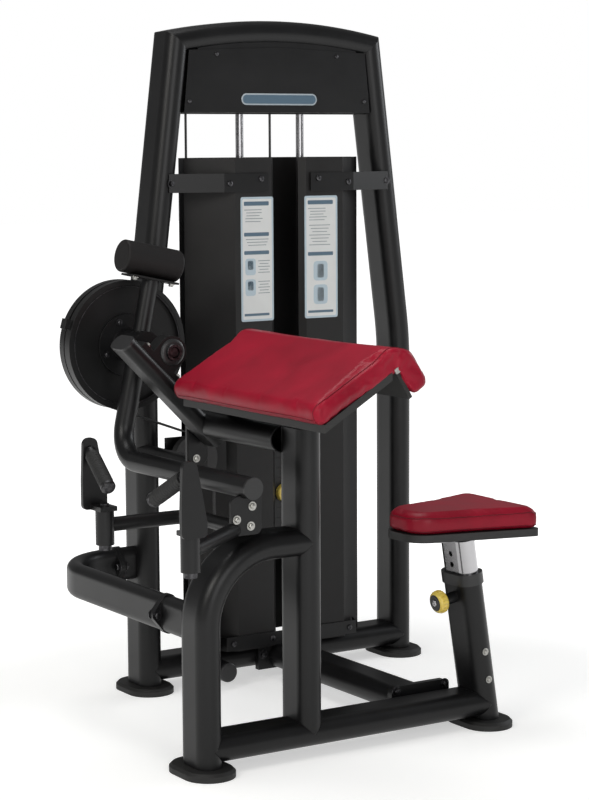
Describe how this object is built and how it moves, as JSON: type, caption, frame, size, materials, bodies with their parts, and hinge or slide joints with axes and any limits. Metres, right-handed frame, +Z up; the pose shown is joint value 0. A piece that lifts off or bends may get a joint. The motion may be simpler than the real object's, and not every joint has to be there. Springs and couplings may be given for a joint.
{
  "type": "biceps curl machine",
  "caption": "Seated biceps curl machine: weight stack tower with shrouds, swinging arm with swivelling grips, sloping arm pad, height-adjustable seat.",
  "frame": {"origin": "middle of the footprint, on the floor", "axes": "+Z up; +Y from the seat side towards the weight tower; the person sits at +X facing -X"},
  "size_m": [1.212, 1.082, 1.6159],
  "materials": {
    "black_frame": "satin",
    "black_rubber": "matte",
    "chrome_steel": "polished",
    "plated_steel": "satin",
    "grey_plates": "matte",
    "black_plastic": "matte",
    "red_upholstery": "satin",
    "black_board": "matte",
    "yellow_knob": "gloss",
    "black_cable": "satin"
  },
  "bodies": {
    "frame": {"uprights": "black_frame", "top_arch_tube": "black_frame", "tower_base_tube": "black_frame", "front_post": "black_frame", "centre_post": "black_frame", "pad_cross_tube": "black_frame", "front_base_tube": "black_frame", "seat_post": "black_frame", "rubber_feet": "black_rubber", "header_beam": "black_frame", "header_covers": "black_frame", "guide_rods": "chrome_steel", "stack_risers": "grey_plates", "stack_bumpers": "black_rubber", "resting_plates": "grey_plates", "front_shrouds": "black_frame", "rear_shroud": "black_frame", "shroud_bars": "black_frame", "pulley_axles": "plated_steel", "pulley_bridge": "black_frame", "floor_pulley_bracket": "black_frame", "loop_tube": "black_frame", "frame_flanges": "black_frame", "connecting_tube": "black_frame", "near_bearing_block": "black_frame", "bearing_strut": "black_frame", "tube_end_trims": "black_plastic", "far_bearing_plate": "black_frame", "arm_pad": "red_upholstery", "arm_pad_board": "black_board", "pad_brackets": "black_frame", "cable": "black_cable", "stack_cable": "black_cable"},
    "stack": {"lifted_plates": "grey_plates", "selector_stem": "chrome_steel"},
    "stack_pin": {"selector_pin": "chrome_steel", "selector_pin_knob": "yellow_knob"},
    "side_wheel": {"side_pulley": "black_plastic"},
    "floor_wheel": {"floor_pulley": "black_plastic"},
    "left_wheel": {"left_header_pulley": "black_plastic"},
    "centre_wheel": {"centre_header_pulley": "black_plastic"},
    "arm": {"cam_wheel": "black_frame", "pivot_shaft": "plated_steel", "arm_hub": "black_frame", "arm_tube": "black_frame", "arm_end_cap": "black_plastic", "counterweight": "black_frame", "handle_carrier": "black_frame", "arm_end_plate": "black_frame"},
    "far_handle": {"far_handle_bracket": "black_frame", "far_grip": "black_rubber", "far_handle_pin": "plated_steel"},
    "near_handle": {"near_handle_bracket": "black_frame", "near_grip": "black_rubber", "near_handle_pin": "plated_steel"},
    "seat": {"seat_tube": "chrome_steel", "seat_board": "black_board", "seat_pad": "red_upholstery"},
    "seat_pull_pin": {"seat_pin": "chrome_steel", "seat_pin_knob": "yellow_knob"}
  },
  "joints": [
    {"name": "arm_swing", "type": "hinge", "parent": "frame", "child": "arm", "pos_m": [-0.29796, 0.333, 0.859], "axis": [0, 1, 0], "range_deg": [0, 95]},
    {"name": "stack_lift", "type": "slide", "parent": "frame", "child": "stack", "axis": [0, 0, 1], "range_m": [0, 0.2442], "deforming": ["stack_cable"]},
    {"name": "selector_pin_pull", "type": "slide", "parent": "stack", "child": "stack_pin", "axis": [0, -1, 0], "range_m": [0, 0.068]},
    {"name": "far_handle_swivel", "type": "hinge", "parent": "arm", "child": "far_handle", "pos_m": [-0.55596, -0.062, 0.52], "axis": [0, 0, 1], "range_deg": [-20, 20]},
    {"name": "near_handle_swivel", "type": "hinge", "parent": "arm", "child": "near_handle", "pos_m": [-0.55596, -0.428, 0.52], "axis": [0, 0, 1], "range_deg": [-20, 20]},
    {"name": "seat_height", "type": "slide", "parent": "frame", "child": "seat", "axis": [-0.1552, 0, 0.9879], "range_m": [-0.075, 0.075]},
    {"name": "seat_pin_pull", "type": "slide", "parent": "frame", "child": "seat_pull_pin", "axis": [-0.9879, 0, -0.1552], "range_m": [0, 0.01], "stiffness_N_per_m": 800},
    {"name": "side_pulley_spin", "type": "hinge", "parent": "frame", "child": "side_wheel", "pos_m": [-0.11096, 0.333, 0.576], "axis": [0, 1, 0], "range_deg": [-260, 1]},
    {"name": "floor_pulley_spin", "type": "hinge", "parent": "frame", "child": "floor_wheel", "pos_m": [-0.05696, 0.392, 0.15], "axis": [1, 0, 0], "range_deg": [-238, 1]},
    {"name": "left_header_spin", "type": "hinge", "parent": "frame", "child": "left_wheel", "pos_m": [-0.00696, 0.451, 1.475], "axis": [0, 1, 0], "range_deg": [-281, 1]},
    {"name": "centre_header_spin", "type": "hinge", "parent": "frame", "child": "centre_wheel", "pos_m": [0.13004, 0.451, 1.475], "axis": [0, 1, 0], "range_deg": [-281, 1]}
  ],
  "couplings": [
    {"joint": "stack_lift", "follows": "arm_swing", "m_per_rad": 0.147},
    {"joint": "side_pulley_spin", "follows": "arm_swing", "ratio": -2.7222},
    {"joint": "floor_pulley_spin", "follows": "arm_swing", "ratio": -2.4915},
    {"joint": "left_header_spin", "follows": "arm_swing", "ratio": -2.94},
    {"joint": "centre_header_spin", "follows": "arm_swing", "ratio": -2.94}
  ]
}
